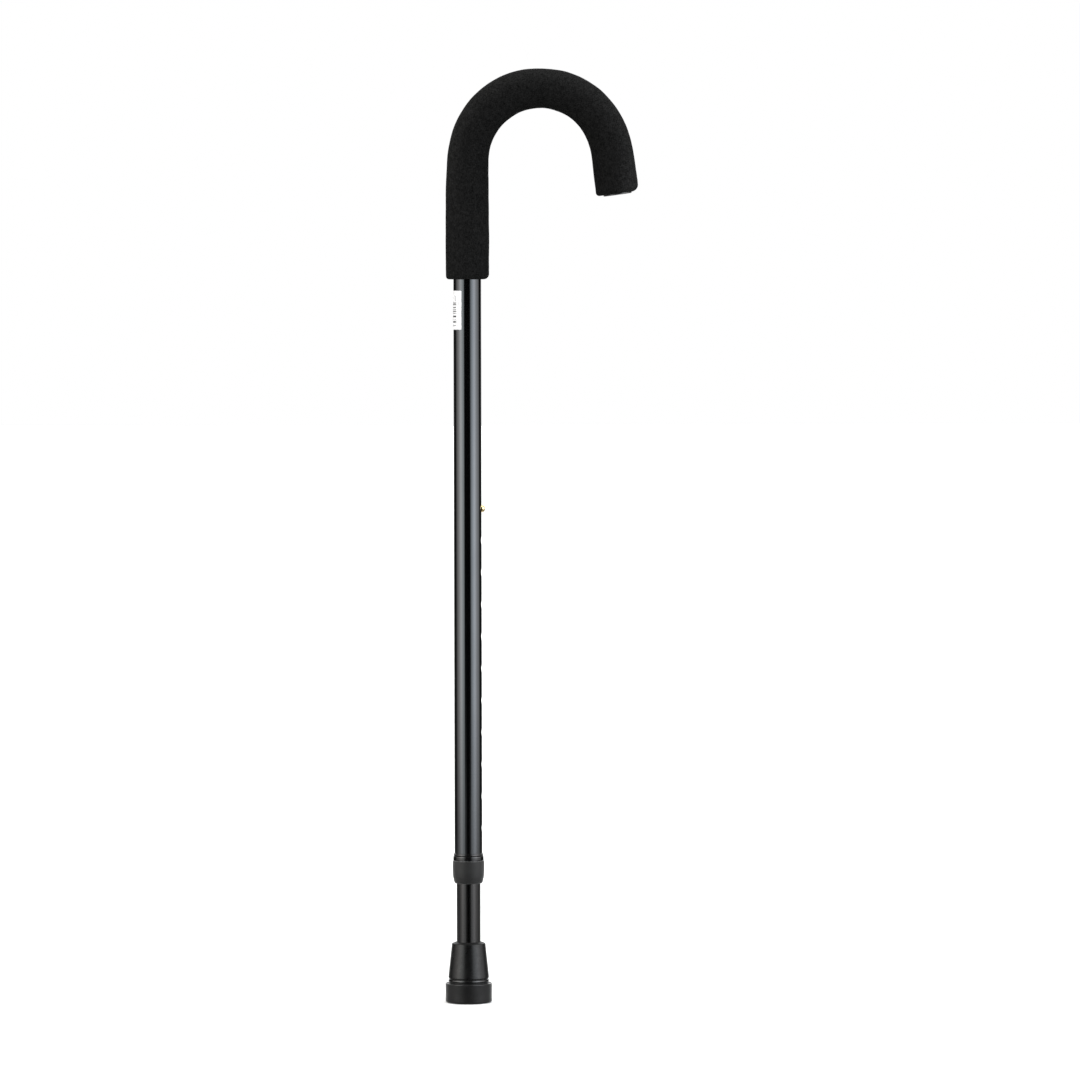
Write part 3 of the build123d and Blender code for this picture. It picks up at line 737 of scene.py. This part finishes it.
def tube(name, ro, ri, z0, z1, holes, hole_r, material, crook=False, cols=96):
    """A real tube: outer and inner wall, both ends, and round cross-drilled holes on its +X side with broken edges."""
    half_cols = 8
    phi0 = 2 * math.pi * half_cols / cols
    half = UPPER_R * math.sin(phi0)
    n_side = 2 * half_cols
    holes = sorted(holes)
    rows = [z0]
    for zc in holes:
        gap = zc - half - rows[-1]
        if gap > 1e-6:
            steps = max(1, int(round(gap / 7.0)))
            rows += [rows[-1] + gap * (i + 1) / steps for i in range(steps)]
        rows += [zc - half + 2 * half * (i + 1) / n_side for i in range(n_side)]
    gap = z1 - rows[-1]
    steps = max(1, int(round(gap / 14.0)))
    rows += [rows[-1] + gap * (i + 1) / steps for i in range(steps)]
    spots = [(Vector((0, 0, z)), Vector((1, 0, 0)), Vector((0, 0, 1))) for z in rows]
    if crook:
        steps = 56
        for i in range(1, steps + 1):
            c, n, u = centre(LEG_LEN + ARC_LEN * i / steps)
            spots.append((c, -n, u))
        for i in range(1, 5):
            c, n, u = centre(LEG_LEN + ARC_LEN + TAIL_LEN * i / 4)
            spots.append((c, -n, u))
    verts, faces, normals = [], [], []

    def wall(r, sign, lip):
        grid = []
        radial = []
        for c, n, u in spots:
            line = []
            for j in range(cols):
                a = 2 * math.pi * j / cols
                d = n * math.cos(a) + Vector((0, 1, 0)) * math.sin(a)
                line.append(len(verts))
                verts.append(c + d * r)
                radial.append(d * sign)
            grid.append(line)
        base = grid[0][0]
        skip = {}
        for h, zc in enumerate(holes):
            i0 = min(range(len(rows)), key=lambda i: abs(rows[i] - (zc - half)))
            for i in range(i0, i0 + n_side):
                for j in list(range(half_cols)) + list(range(cols - half_cols, cols)):
                    skip[(i, j)] = h
        for i in range(len(spots) - 1):
            for j in range(cols):
                if (i, j) in skip:
                    continue
                k = (j + 1) % cols
                quad = (grid[i][j], grid[i][k], grid[i + 1][k], grid[i + 1][j])
                if sign < 0:
                    quad = quad[::-1]
                faces.append(quad)
                normals.extend(radial[v - base] for v in quad)
        rims = []
        for zc in holes:
            i0 = min(range(len(rows)), key=lambda i: abs(rows[i] - (zc - half)))
            # boundary loop, counterclockwise seen from +X: (y, z) square coordinates
            loop = []
            for j in range(-half_cols, half_cols):
                loop.append((i0, j))
            for i in range(i0, i0 + n_side):
                loop.append((i, half_cols))
            for j in range(half_cols, -half_cols, -1):
                loop.append((i0 + n_side, j))
            for i in range(i0 + n_side, i0, -1):
                loop.append((i, -half_cols))
            m = len(loop)
            outer = [grid[i][j % cols] for i, j in loop]
            angle = [
                math.atan2((i - i0 - half_cols) / half_cols, j / half_cols) for i, j in loop
            ]
            rad = lip
            steps = [0.0, 0.10, 0.28, 0.55, 1.0]
            prev = None
            for f in steps:
                if f == 1.0:
                    cur = outer
                else:
                    cur = []
                    for q in range(m):
                        b = verts[outer[q]]
                        y = rad * math.cos(angle[q]) * (1 - f) + b.y * f
                        z = (zc + rad * math.sin(angle[q])) * (1 - f) + b.z * f
                        cur.append(len(verts))
                        verts.append(Vector((math.sqrt(r * r - y * y), y, z)))
                if prev is not None:
                    for q in range(m):
                        w = (q + 1) % m
                        quad = (prev[q], cur[q], cur[w], prev[w])
                        if sign < 0:
                            quad = quad[::-1]
                        faces.append(quad)
                        for v in quad:
                            p = verts[v]
                            normals.append(Vector((p.x, p.y, 0)).normalized() * sign)
                else:
                    rims.append((cur, angle))
                prev = cur
        return grid, rims

    chamfer = 0.18
    g_out, rim_out = wall(ro, 1, hole_r + chamfer)
    g_in, rim_in = wall(ri, -1, hole_r)
    # hole walls, with a small chamfer on the outside
    for (loop_o, angle), (loop_i, _), zc in zip(rim_out, rim_in, holes):
        m = len(loop_o)
        mid = []
        for q in range(m):
            y, z = hole_r * math.cos(angle[q]), zc + hole_r * math.sin(angle[q])
            mid.append(len(verts))
            verts.append(Vector((math.sqrt(ro * ro - y * y) - chamfer * 0.9, y, z)))
        for a, b, slope in ((mid, loop_o, 0.7), (loop_i, mid, 0.0)):
            for q in range(m):
                w = (q + 1) % m
                quad = (a[q], b[q], b[w], a[w])
                faces.append(quad)
                for k in (q, q, w, w):
                    normals.append(
                        Vector((slope, -math.cos(angle[k]), -math.sin(angle[k]))).normalized()
                    )
    # both ends
    for end, u_sign in ((0, -1), (-1, 1)):
        u = spots[end][2] * u_sign
        for j in range(cols):
            k = (j + 1) % cols
            quad = (g_in[end][j], g_in[end][k], g_out[end][k], g_out[end][j])
            if u_sign > 0:
                quad = quad[::-1]
            faces.append(quad)
            normals.extend([u] * 4)
    return link(name, verts, faces, normals, material)


# ---------------------------------------------------------------------------
# tubes
# ---------------------------------------------------------------------------
upper = tube("upper_tube_skin", UPPER_R, UPPER_RI, Z_TUBE_END, Z_ARC, HOLES, HOLE_R, MAT["upper"], crook=True)
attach(upper, "upper_shaft")
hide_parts("upper_tube")

lower = tube("lower_tube_skin", LOWER_R, LOWER_RI, Z_LOW0, Z_LOW1, [Z_BUTTON], LOWER_HOLE_R, MAT["lower"])
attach(lower, "lower_shaft")
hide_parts("lower_tube")


# ---------------------------------------------------------------------------
# foam grip
# ---------------------------------------------------------------------------
def interp(table, x):
    """Smooth (Catmull-Rom) interpolation of (x, value) pairs."""
    if x <= table[0][0]:
        return table[0][1]
    if x >= table[-1][0]:
        return table[-1][1]
    i = max(k for k in range(len(table)) if table[k][0] <= x)
    i = min(i, len(table) - 2)
    x0, y0 = table[i]
    x1, y1 = table[i + 1]
    m0 = (y1 - table[i - 1][1]) / (x1 - table[i - 1][0]) if i > 0 else (y1 - y0) / (x1 - x0)
    m1 = (table[i + 2][1] - y0) / (table[i + 2][0] - x0) if i + 2 < len(table) else (y1 - y0) / (x1 - x0)
    h = x1 - x0
    t = (x - x0) / h
    return (
        (2 * t**3 - 3 * t**2 + 1) * y0
        + (t**3 - 2 * t**2 + t) * h * m0
        + (-2 * t**3 + 3 * t**2) * y1
        + (t**3 - t**2) * h * m1
    )


# foam radius and how far its section sits off the tube's axis, towards the outside of the bend
FOAM_RADIUS = [
    (0, 17.1), (14, 17.17), (30, 17.2), (50, 17.15), (66, 17.0), (80, 16.77), (92, 16.47), (104, 16.15),
    (116, 16.2), (132, 16.2), (150, 16.2), (162, 16.1), (176, 15.7), (188, 15.6), (204, 15.9), (222, 16.1),
    (240, 16.3), (258, 16.5), (272, 16.75), (284, 16.95), (299, 16.95),
]
FOAM_SHIFT = [
    (0, -0.32), (20, -0.22), (50, -0.18), (72, -0.25), (84, -0.4), (92, -0.6), (103, -0.85), (114, -0.6),
    (128, -0.3), (150, 0.15), (162, 0.4), (180, 0.4), (210, 0.6), (225, 0.6), (240, 0.2), (256, 0.0), (272, 0.28),
    (286, 0.12), (299, 0.0),
]


def make_foam():
    cols = 144
    bore = UPPER_R + 0.06
    verts, faces = [], []
    # stations along the sleeve: dense at the rounded ends
    stations = []
    s = 0.0
    while s < FOAM_LEN:
        stations.append(s)
        edge = min(s, FOAM_LEN - s)
        s += 0.12 if edge < 0.5 else 0.3 if edge < 2.0 else 0.55 if edge < 7.0 else 0.86
    stations.append(FOAM_LEN)
    grid = []
    for s in stations:
        c, n, u = centre(s)
        rad, off = interp(FOAM_RADIUS, s), interp(FOAM_SHIFT, s)
        line = []
        for j in range(cols):
            a = 2 * math.pi * j / cols
            ca, sa = math.cos(a), math.sin(a)
            # corner radius at each end differs round the sleeve, as cut foam does
            f0 = 3.3 - 1.2 * ca + 0.25 * math.sin(3 * a + 0.7)
            f1 = 3.9 + 1.3 * ca + 0.25 * math.sin(2 * a + 1.9)
            r = rad
            if s < f0:
                r -= f0 - math.sqrt(max(0.0, f0 * f0 - (f0 - s) ** 2))
            e = FOAM_LEN - s
            if e < f1:
                r -= f1 - math.sqrt(max(0.0, f1 * f1 - (f1 - e) ** 2))
            d = n * ca + Vector((0, 1, 0)) * sa
            p = c + n * off + d * r
            keep = min(1.0, (r - bore - 0.6) / 2.0)
            w = noise.noise(p * 0.075 + Vector((3.1, 7.7, 1.3))) * 0.22
            w += noise.noise(p * 0.32) * 0.07
            w += noise.noise(p * 0.95 + Vector((11.0, 0, 0))) * 0.045
            w += noise.noise(p * 1.9) * 0.03
            p += d * (w * max(0.2, keep))
            line.append(len(verts))
            verts.append(p)
        grid.append(line)
    # bore
    inner = []
    for s in [0.5, 4.0] + [FOAM_LEN * k / 64 for k in range(2, 63)] + [FOAM_LEN - 4.0, FOAM_LEN - 0.5]:
        c, n, u = centre(s)
        line = []
        for j in range(cols):
            a = 2 * math.pi * j / cols
            line.append(len(verts))
            verts.append(c + (n * math.cos(a) + Vector((0, 1, 0)) * math.sin(a)) * bore)
        inner.append(line)

    def band(a, b, flip=False):
        for j in range(cols):
            k = (j + 1) % cols
            quad = (a[j], b[j], b[k], a[k])
            faces.append(quad[::-1] if flip else quad)

    for a, b in zip(grid, grid[1:]):
        band(a, b)
    for a, b in zip(inner, inner[1:]):
        band(a, b, True)
    # cut end faces: three rings from the rounded edge to the bore, slightly uneven
    for end, loop_out, loop_in in ((0, grid[0], inner[0]), (1, grid[-1], inner[-1])):
        s = 0.0 if end == 0 else FOAM_LEN
        c, n, u = centre(s)
        face_dir = -u if end == 0 else u
        prev = loop_out
        for f in (0.3, 0.62, 0.9):
            line = []
            for j in range(cols):
                a = 2 * math.pi * j / cols
                d = n * math.cos(a) + Vector((0, 1, 0)) * math.sin(a)
                q = verts[loop_out[j]]
                r = (q - c).dot(d)
                rr = r * (1 - f) + (bore + 0.12) * f
                p = c + d * rr
                p += face_dir * (noise.noise(p * 0.8) * 0.05 - (0.12 if f > 0.8 else 0.0))
                line.append(len(verts))
                verts.append(p)
            band(prev, line, flip=(end == 0))
            prev = line
        band(prev, loop_in, flip=(end == 0))
    return link("foam_sleeve", verts, faces, None, MAT["foam"])


foam = make_foam()
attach(foam, "upper_shaft")
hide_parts("foam_grip")


# ---------------------------------------------------------------------------
# end plug of the crook
# ---------------------------------------------------------------------------
c_end, n_end, u_end = centre(FOAM_LEN)
x_end = Vector((0, 1, 0))
y_end = u_end.cross(x_end)
tail = Matrix(
    (
        (x_end.x, y_end.x, u_end.x, c_end.x),
        (x_end.y, y_end.y, u_end.y, c_end.y),
        (x_end.z, y_end.z, u_end.z, c_end.z),
        (0, 0, 0, 1),
    )
)
STEM = UPPER_RI - 0.08
plug = lathe(
    "crook_end_plug",
    [
        (0.0, 1.18, 0), (5.0, 1.17, 3.0), (9.6, 1.10, 1.5), (10.9, 0.98, 0.3), (11.25, 0.74, 0.18), (11.25, 0.02, 0.04),
        (STEM - 0.35, 0.06, 0.1), (STEM - 0.35, -3.0, 0.1), (STEM, -3.5, 0.15), (STEM, -4.2, 0.15),
        (STEM - 0.35, -4.8, 0.1), (STEM - 0.35, -7.0, 0.1), (STEM, -7.5, 0.15), (STEM, -8.2, 0.15),
        (STEM - 0.35, -8.8, 0.1), (STEM - 0.35, -13.0, 0.3), (STEM - 0.95, -14.0, 0.2), (STEM - 1.95, -14.0, 0.2),
        (STEM - 1.95, -1.2, 0.5), (0.0, -1.2, 0),
    ],
    MAT["plug"],
    seg=144,
    place=tail,
)
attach(plug, "upper_shaft")
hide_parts("handle_end_plug")


# ---------------------------------------------------------------------------
# rubber tip
# ---------------------------------------------------------------------------
TIP_SIDE = 16.3
tip = lathe(
    "rubber_tip_skin",
    [
        (0.0, 0.0, 0), (3.4, 0.0, 0.25), (3.9, 1.3, 0.25), (5.9, 1.3, 0.25), (6.4, 0.0, 0.25), (8.4, 0.0, 0.25),
        (8.9, 1.3, 0.25), (10.9, 1.3, 0.25), (11.4, 0.0, 0.25), (13.0, 0.0, 0.25), (13.4, 1.0, 0.25),
        (14.7, 1.0, 0.25), (15.1, 0.0, 0.25), (18.5, 0.0, 1.7), (18.48, 7.0, 3.0), (18.58, 15.45, 0.45),
        (17.85, 15.5, 0.25), (17.2, 14.9, 0.3), (15.6, 14.7, 0.3), (15.5, 16.55, 0.3), (16.32, 17.4, 0.3),
        (16.08, 18.45, 0.3), (15.5, 18.8, 0.2), (15.5, 19.3, 0.2), (16.2, 19.9, 0.4), (16.08, 21.5, 1.2),
        (13.34, 47.0, 0.4), (10.55, 48.2, 0.45), (9.95, 48.2, 0.25), (9.56, 47.8, 0.15), (9.56, 8.6, 0.2), (0.0, 8.6, 0),
    ],
    MAT["rubber"],
    seg=192,
    arc_step=9.0,
)
tip.data.materials.append(MAT["rubber_band"])
tip.data.materials.append(MAT["rubber_edge"])
tip.data.materials.append(MAT["rubber_shoulder"])
for poly in tip.data.polygons:
    c = poly.center / MM
    # flange band; its top rim takes the painted-highlight copy
    if c.z < TIP_SIDE and c.xy.length > 12.0:
        poly.material_index = 2 if c.z > TIP_SIDE - 1.35 and c.xy.length > 17.6 else 1
    # top shoulder: the duller painted-shade copy
    elif c.z > 46.95 and c.xy.length > 9.8:
        poly.material_index = 3
    # bead: the painted-highlight copy
    elif 17.1 < c.z < 18.75 and c.xy.length > 15.6:
        poly.material_index = 2
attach(tip, "lower_shaft")
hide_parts("rubber_tip")


# ---------------------------------------------------------------------------
# collar: threaded bushing and lock nut
# ---------------------------------------------------------------------------
bushing = lathe(
    "collar_bushing_threaded",
    [
        (9.625, 114.85, 0), (11.15, 114.85, 0), (11.15, 118.75, 0.04), (11.4, 118.75, 0.08), (11.7, 118.6, 0.08),
        (11.7, 117.4, 0.04), (11.88, 117.31, 0.03), (11.88, 116.7, 0.03), (12.02, 116.6, 0.08), (12.06, 115.8, 0),
        (12.1, 115.0, 4.0), (12.2, 113.6, 0.14),
        (10.4, 113.6, 0.12), (10.4, 103.2, 0.18), (10.25, 103.2, 0.1), (9.625, 104.0, 0.1),
    ],
    MAT["collar"],
    seg=192,
    extra=[thread(10.32, 11.0, 1.23, 0.55, 104.0, 4.25)],
)
bushing.data.materials.append(MAT["collar_low"])
bushing.data.materials.append(MAT["collar_groove"])
bushing.data.materials.append(MAT["collar_rim"])
for poly in bushing.data.polygons:
    c = poly.center / MM
    # groove: the painted-shade copy
    if c.xy.length > 11.75 and 116.68 < c.z < 117.35:
        poly.material_index = 2
    # lower flange body: the duller painted-shade copy
    elif c.xy.length > 11.9 and c.z < 115.8:
        poly.material_index = 1
    # top lip: the glossier painted-highlight copy
    elif c.xy.length > 11.5 and c.z > 116.3:
        poly.material_index = 3
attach(bushing, "upper_shaft")
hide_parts("collar_bushing")

nut = lathe(
    "lock_nut_threaded",
    [
        (9.925, 99.5, 0.08), (9.925, 95.45, 0.2), (10.2, 95.03, 0.3), (10.75, 95.05, 0.9), (11.2, 95.75, 1.2),
        (11.56, 96.9, 2.0), (11.9, 98.8, 1.2), (12.14, 99.3, 1.2), (12.34, 100.6, 3.0), (12.52, 103.5, 12.0),
        (12.6, 107.5, 12.0), (12.6, 113.08, 0.42), (11.4, 113.08, 0.18), (11.2, 112.8, 0.1), (11.2, 103.5, 0.1),
        (10.95, 103.25, 0.1), (10.95, 99.5, 0.1),
    ],
    MAT["nut"],
    seg=192,
    extra=[thread(10.62, 11.32, 0.6, 1.3, 105.0, 3.75)],
)
nut.data.materials.append(MAT["nut_edge"])
for poly in nut.data.polygons:
    c = poly.center / MM
    # top edge: the glossier painted-highlight copy
    if c.z > 112.6 and c.xy.length > 11.9:
        poly.material_index = 1
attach(nut, "lock_nut")
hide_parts("lock_nut")


# ---------------------------------------------------------------------------
# snap button and its leaf spring
# ---------------------------------------------------------------------------
along_x = Matrix(((0, 0, 1, 0), (1, 0, 0, 0), (0, 1, 0, Z_BUTTON), (0, 0, 0, 1)))
button = lathe(
    "snap_button_brass",
    [
        (0.0, 13.7, 0), (1.15, 13.66, 1.5), (2.3, 13.1, 1.6), (2.9, 11.9, 1.4), (3.0, 10.6, 1.0), (3.0, 6.95, 0.15),
        (1.5, 6.95, 0.1), (1.5, 6.25, 0.1), (2.3, 6.25, 0.15), (2.1, 5.75, 0.3), (1.3, 5.45, 0.4), (0.0, 5.35, 0),
    ],
    MAT["brass"],
    seg=72,
    place=along_x,
    arc_step=8.0,
)
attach(button, "snap_button")
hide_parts("snap_button")



def make_spring():
    """Folded strip: the button leg against the front wall, a narrow bend at the foot, the back leg behind."""
    t, w, hole = 0.6, 8.0, 1.6
    route = [(6.6, 400.6), (6.6, 384.6), (2.6, 354.6), (-2.6, 354.6), (-6.6, 384.6), (-6.3, 402.6)]
    line = []
    for i, q in enumerate(route):
        p = Vector(q)
        if i in (0, len(route) - 1):
            line.append(p)
            continue
        a, b = (Vector(route[i - 1]) - p).normalized(), (Vector(route[i + 1]) - p).normalized()
        half = math.acos(max(-1, min(1, a.dot(b)))) / 2
        d = 2.0 / math.tan(half)
        c = p + (a + b).normalized() * (2.0 / math.sin(half))
        s0, s1 = p + a * d - c, p + b * d - c
        turn = math.atan2(s0.x * s1.y - s0.y * s1.x, s0.dot(s1))
        steps = max(3, int(abs(math.degrees(turn)) / 7))
        for k in range(steps + 1):
            f = turn * k / steps
            line.append(c + Vector((s0.x * math.cos(f) - s0.y * math.sin(f), s0.x * math.sin(f) + s0.y * math.cos(f))))
    # more stations along the straight legs, so that they bend smoothly
    dense = [line[0]]
    patch0, patch1 = Z_BUTTON + 2.6, Z_BUTTON - 2.6
    for a, b in zip(line, line[1:]):
        cuts = max(1, int((b - a).length / 2.2))
        if a.x > 6.5 and b.x > 6.5 and a.y > patch0 and b.y < patch1:
            dense += [Vector((6.6, z)) for z in (a.y - 2.0, a.y - 3.9, patch0, patch1, (patch1 + b.y) / 2)]
            dense.append(b)
            continue
        dense += [a + (b - a) * (k + 1) / cuts for k in range(cuts)]
    line = dense
    n = len(line)
    side_n = []
    for i in range(n):
        d = (line[min(i + 1, n - 1)] - line[max(i - 1, 0)]).normalized()
        side_n.append(Vector((-d.y, d.x)))
    ys = [-w / 2, -w / 2 + 0.25, -2.6, 0.0, 2.6, w / 2 - 0.25, w / 2]
    thin = [0.16, 0.0, 0.0, 0.0, 0.0, 0.0, 0.16]
    verts, faces = [], []
    grid = {}
    for side in (1, -1):
        for i in range(n):
            for j, y in enumerate(ys):
                q = line[i] + side_n[i] * side * (t / 2 - thin[j])
                yy = y
                if i in (0, n - 1):
                    yy = max(-w / 2 + 0.5, min(w / 2 - 0.5, y))
                grid[(side, i, j)] = len(verts)
                verts.append(Vector((q.x, yy, q.y)))
    gap = next(i for i in range(n - 1) if abs(line[i].y - patch0) < 1e-3 and line[i].x > 6.5)
    for side in (1, -1):
        for i in range(n - 1):
            for j in range(len(ys) - 1):
                if i == gap and j in (2, 3):
                    continue
                quad = (grid[(side, i, j)], grid[(side, i + 1, j)], grid[(side, i + 1, j + 1)], grid[(side, i, j + 1)])
                faces.append(quad if side > 0 else quad[::-1])
    for i in range(n - 1):
        for j, flip in ((0, False), (len(ys) - 1, True)):
            quad = (grid[(1, i, j)], grid[(-1, i, j)], grid[(-1, i + 1, j)], grid[(1, i + 1, j)])
            faces.append(quad[::-1] if flip else quad)
    for j in range(len(ys) - 1):
        quad = (grid[(1, 0, j)], grid[(1, 0, j + 1)], grid[(-1, 0, j + 1)], grid[(-1, 0, j)])
        faces.append(quad)
        quad = (grid[(1, n - 1, j)], grid[(-1, n - 1, j)], grid[(-1, n - 1, j + 1)], grid[(1, n - 1, j + 1)])
        faces.append(quad)
    # the rivet hole in the square patch round the button
    loops = {}
    ring = 32
    for side in (1, -1):
        corner = [grid[(side, gap, 2)], grid[(side, gap, 3)], grid[(side, gap, 4)]]
        corner += [grid[(side, gap + 1, 4)], grid[(side, gap + 1, 3)], grid[(side, gap + 1, 2)]]
        x = 6.6 + (t / 2 if verts[corner[0]].x > 6.6 else -t / 2)
        inner = []
        for k in range(ring):
            a = 2 * math.pi * k / ring
            inner.append(len(verts))
            verts.append(Vector((x, hole * math.cos(a), Z_BUTTON + hole * math.sin(a))))
        loops[side] = inner
        angle = [math.atan2(verts[v].z - Z_BUTTON, verts[v].y) % (2 * math.pi) for v in corner]
        order = sorted(range(6), key=lambda q: angle[q])
        cs = [corner[q] for q in order]
        an = [angle[q] for q in order]
        normal_out = verts[corner[0]].x > 6.6
        for q in range(6):
            c0, c1 = cs[q], cs[(q + 1) % 6]
            a0, a1 = an[q], an[(q + 1) % 6] + (2 * math.pi if q == 5 else 0)
            k0, k1 = round(a0 / (2 * math.pi) * ring), round(a1 / (2 * math.pi) * ring)
            arc = [inner[k % ring] for k in range(k0, k1 + 1)]
            poly = [c0, c1] + arc[::-1]
            faces.append(tuple(poly if normal_out else poly[::-1]))
    a_loop, b_loop = (loops[1], loops[-1]) if verts[loops[1][0]].x > verts[loops[-1][0]].x else (loops[-1], loops[1])
    for k in range(ring):
        q = (k + 1) % ring
        faces.append((a_loop[k], a_loop[q], b_loop[q], b_loop[k]))
    obj = link("leaf_spring_strip", verts, faces, None, MAT["steel"], smooth=False)
    return obj


spring = make_spring()
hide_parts("snap_spring")
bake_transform(spring)

# ---------------------------------------------------------------------------
# label
# ---------------------------------------------------------------------------
def make_label():
    a0, a1 = math.radians(246.2), math.radians(246.2 - math.degrees(25.0 / UPPER_R))
    z0, z1 = LABEL_LO.z / MM, LABEL_HI.z / MM
    nx, nz = 64, 62
    corner = 0.45
    verts, faces = [], []
    width = 25.0
    height = z1 - z0

    def spot(i, j, layer):
        s = width * i / nx
        h = height * j / nz
        # rounded corners: pull the outline in near the four corners
        ds = max(0.0, corner - min(s, width - s))
        dh = max(0.0, corner - min(h, height - h))
        if ds > 0 and dh > 0:
            k = math.hypot(ds, dh)
            if k > corner:
                ks = corner / k
                s = (corner - ds * ks) if s < width / 2 else width - (corner - ds * ks)
                h = (corner - dh * ks) if h < height / 2 else height - (corner - dh * ks)
        a = a0 + (a1 - a0) * s / width
        edge = min(s, width - s, h, height - h)
        lift = 0.0
        # the front edge stands off the tube a little where the paper was creased
        lift += 0.16 * math.exp(-((s / 1.6) ** 2)) * math.exp(-(((h - 13.0) / 3.2) ** 2))
        lift += 0.05 * math.exp(-((edge / 0.8) ** 2)) * (0.5 + 0.5 * noise.noise(Vector((s * 0.4, h * 0.4, 2.0))))
        r = UPPER_R + 0.02 + lift + (0.11 if layer else 0.0)
        return Vector((r * math.cos(a), r * math.sin(a), z0 + h))

    index = {}
    for layer in (0, 1):
        for i in range(nx + 1):
            for j in range(nz + 1):
                index[(i, j, layer)] = len(verts)
                verts.append(spot(i, j, layer))
    for i in range(nx):
        for j in range(nz):
            q = (index[(i, j, 1)], index[(i, j + 1, 1)], index[(i + 1, j + 1, 1)], index[(i + 1, j, 1)])
            faces.append(q)
            q = (index[(i, j, 0)], index[(i + 1, j, 0)], index[(i + 1, j + 1, 0)], index[(i, j + 1, 0)])
            faces.append(q)
    for i in range(nx):
        faces.append((index[(i, 0, 0)], index[(i, 0, 1)], index[(i + 1, 0, 1)], index[(i + 1, 0, 0)]))
        faces.append((index[(i, nz, 1)], index[(i, nz, 0)], index[(i + 1, nz, 0)], index[(i + 1, nz, 1)]))
    for j in range(nz):
        faces.append((index[(0, j, 1)], index[(0, j, 0)], index[(0, j + 1, 0)], index[(0, j + 1, 1)]))
        faces.append((index[(nx, j, 0)], index[(nx, j, 1)], index[(nx, j + 1, 1)], index[(nx, j + 1, 0)]))
    return link("paper_label", verts, faces, None, MAT["label"])


label = make_label()
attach(label, "upper_shaft")
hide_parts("label")

# ---------------------------------------------------------------------------
# CAD nodes that stay, with their finish
# ---------------------------------------------------------------------------
for node, key in (
    ("clamp_ring", "nylon"),
    ("tip_washer", "steel"),
):
    o = NODES[node]
    o.data.materials.clear()
    o.data.materials.append(MAT[key])

# ---------------------------------------------------------------------------
# floor
# ---------------------------------------------------------------------------
bpy.ops.mesh.primitive_plane_add(size=30.0, location=(0.0, 0.0, -0.0001))
floor = bpy.context.active_object
floor.name = "floor"
fm, ft, fp, fvec = new_material("floor_pale")
fp.inputs["Roughness"].default_value = 0.9
fp.inputs["Specular IOR Level"].default_value = 0.1
ft.links.new(
    mix_rgb(ft, noise_of(ft, fvec, 3.0), (0.90, 0.90, 0.90, 1), (0.92, 0.92, 0.92, 1)), fp.inputs["Base Color"]
)
floor.data.materials.append(fm)
floor.visible_glossy = False
